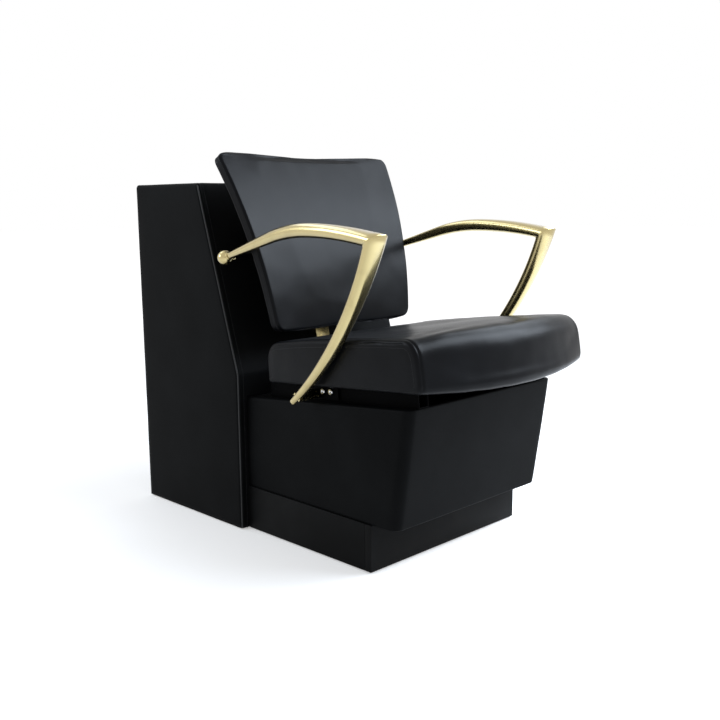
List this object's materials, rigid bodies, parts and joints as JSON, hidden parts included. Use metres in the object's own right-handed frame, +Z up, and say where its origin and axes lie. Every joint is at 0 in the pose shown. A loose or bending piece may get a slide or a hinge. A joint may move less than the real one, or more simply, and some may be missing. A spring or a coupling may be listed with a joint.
{
  "type": "dryer chair",
  "caption": "Salon dryer chair: upholstered seat and curved back with gold coloured arms on a padded base, joined to a tall slant-fronted box with a post socket for a hood.",
  "frame": {"origin": "on the floor, under the middle of the chair's bounding box", "axes": "+Z up, the sitter faces -Y, +X is the sitter's left; the dryer box stands at +Y"},
  "size_m": [0.644, 1.0438, 0.9112],
  "materials": {
    "seat_leatherette": "smooth black leatherette, semi-gloss",
    "cover_leatherette": "black leatherette stretched over board, satin",
    "plywood": "bare plywood",
    "black_board": "black laminated board, matt",
    "gold_metal": "gold coloured, polished",
    "black_steel": "black powder coat, satin",
    "bright_steel": "bright plated",
    "zinc_steel": "zinc plated",
    "black_nylon": "black nylon, matt"
  },
  "bodies": {
    "root": {"floor_glides": "black_nylon", "plinth_front_board": "black_board", "plinth_side_boards": "black_board", "plinth_corner_blocks": "plywood", "base_bottom_panel": "plywood", "base_side_panels": "plywood", "base_front_panel": "plywood", "base_top_panel": "black_board", "base_rear_rail": "plywood", "base_cover": "cover_leatherette", "joining_screws": "zinc_steel", "box_bottom_panel": "plywood", "box_side_panels": "plywood", "box_front_lower_panel": "plywood", "box_front_upper_panel": "plywood", "box_top_panel": "plywood", "box_battens": "plywood", "box_rear_panel": "black_board", "box_cover": "cover_leatherette", "rear_panel_screws": "zinc_steel", "cable_grommet": "black_nylon", "post_socket": "black_steel", "socket_screws": "zinc_steel", "seat_rails": "black_steel", "seat_board": "plywood", "seat_cushion": "seat_leatherette", "seat_bolts": "zinc_steel", "back_bar": "gold_metal", "back_bar_bolts": "zinc_steel", "back_cross_bar": "black_steel", "back_board": "black_board", "back_cushion": "seat_leatherette", "back_spacers": "black_steel", "back_bolts": "zinc_steel", "arm_right": "gold_metal", "arm_left": "gold_metal", "arm_lugs": "gold_metal", "arm_foot_plates": "black_steel", "arm_bolts": "bright_steel", "arm_balls": "gold_metal", "arm_collars": "gold_metal", "arm_studs": "zinc_steel"}
  },
  "joints": []
}
